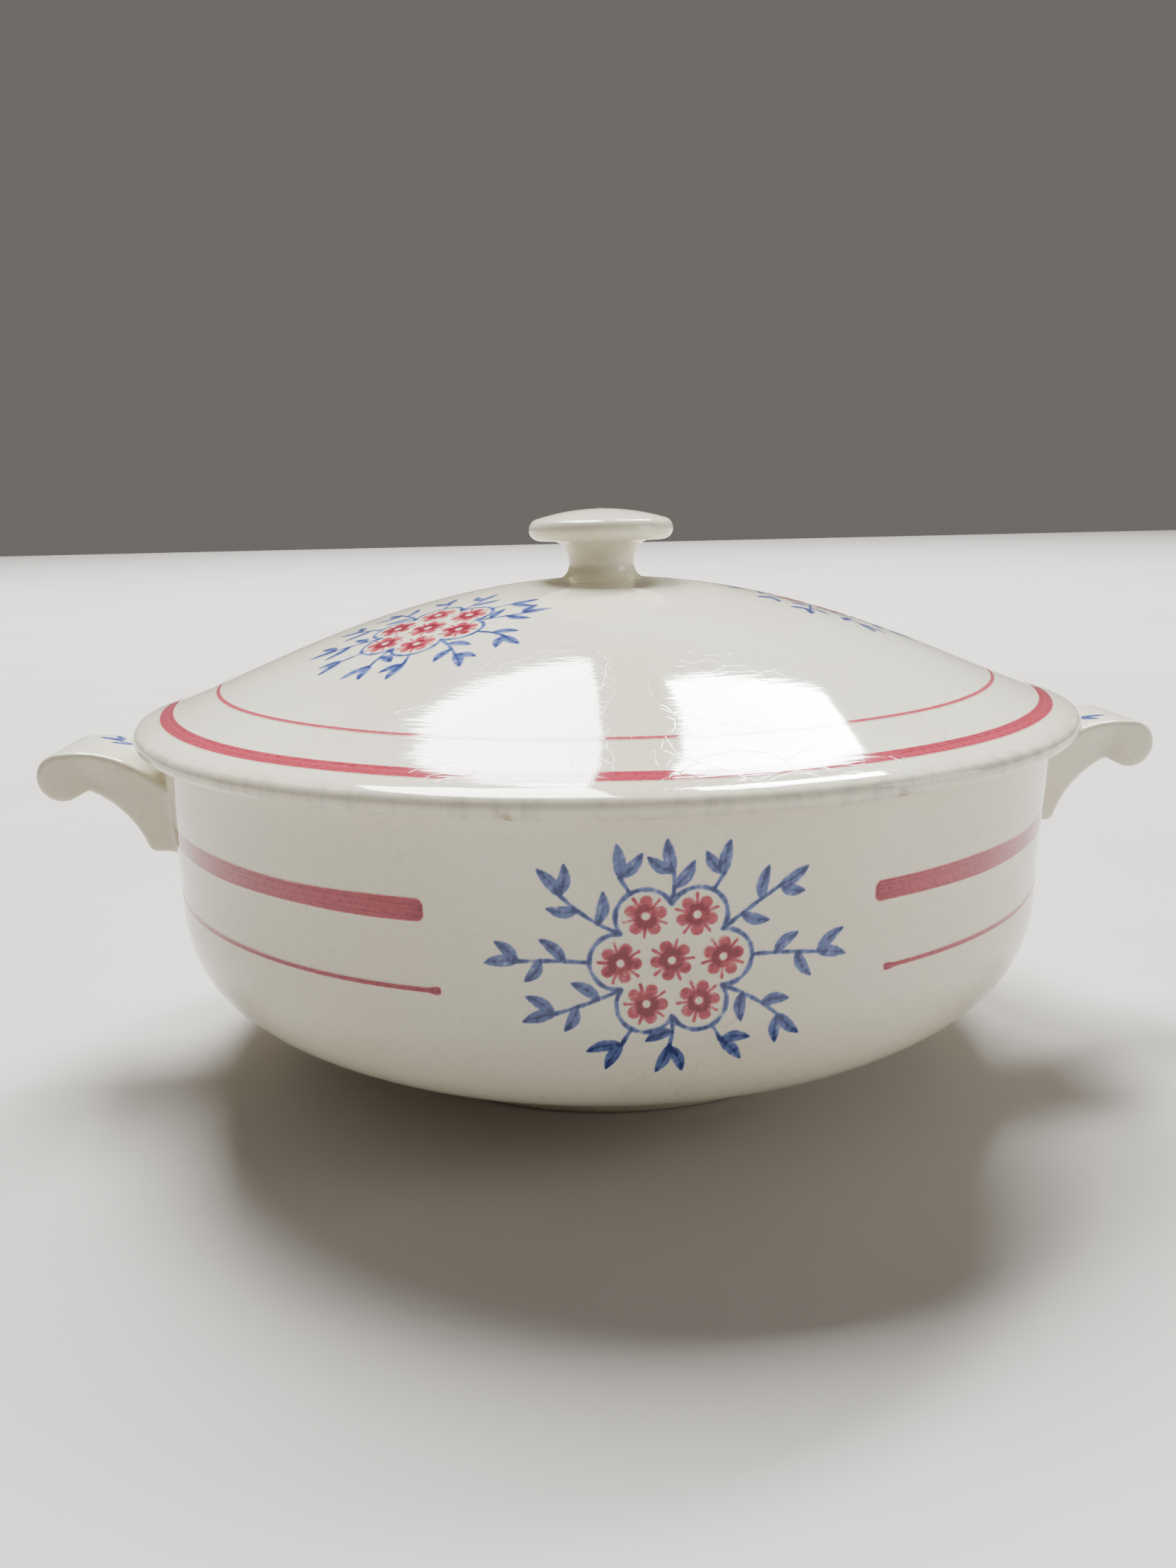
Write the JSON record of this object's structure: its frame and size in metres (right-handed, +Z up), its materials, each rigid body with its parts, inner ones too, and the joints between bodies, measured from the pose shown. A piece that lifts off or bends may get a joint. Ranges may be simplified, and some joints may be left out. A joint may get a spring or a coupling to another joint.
{
  "type": "covered serving dish",
  "caption": "Round glazed earthenware tureen with a bowl on a foot ring, two scroll handles, and a domed lift-off lid with a disc knob.",
  "frame": {"origin": "middle of the foot ring's underside, on the surface that the dish stands on", "axes": "+Z up along the dish's axis, X through the two handles, -Y towards the painted front"},
  "size_m": [0.316, 0.26, 0.1502],
  "materials": {
    "glaze": "glossy ivory glaze with fine crazing",
    "bare_clay": "dry unglazed cream earthenware",
    "red_paint": "crimson painted decoration under the glaze",
    "blue_paint": "blue painted decoration under the glaze"
  },
  "bodies": {
    "dish": {"bowl": "glaze", "foot_ring": "bare_clay", "handle_left": "glaze", "handle_right": "glaze"},
    "cover": {"lid": "glaze", "lid_collar": "glaze", "knob": "glaze"}
  },
  "joints": [
    {"name": "lid_lift", "type": "slide", "parent": "dish", "child": "cover", "axis": [0, 0, 1], "range_m": [0, 0.12]}
  ]
}
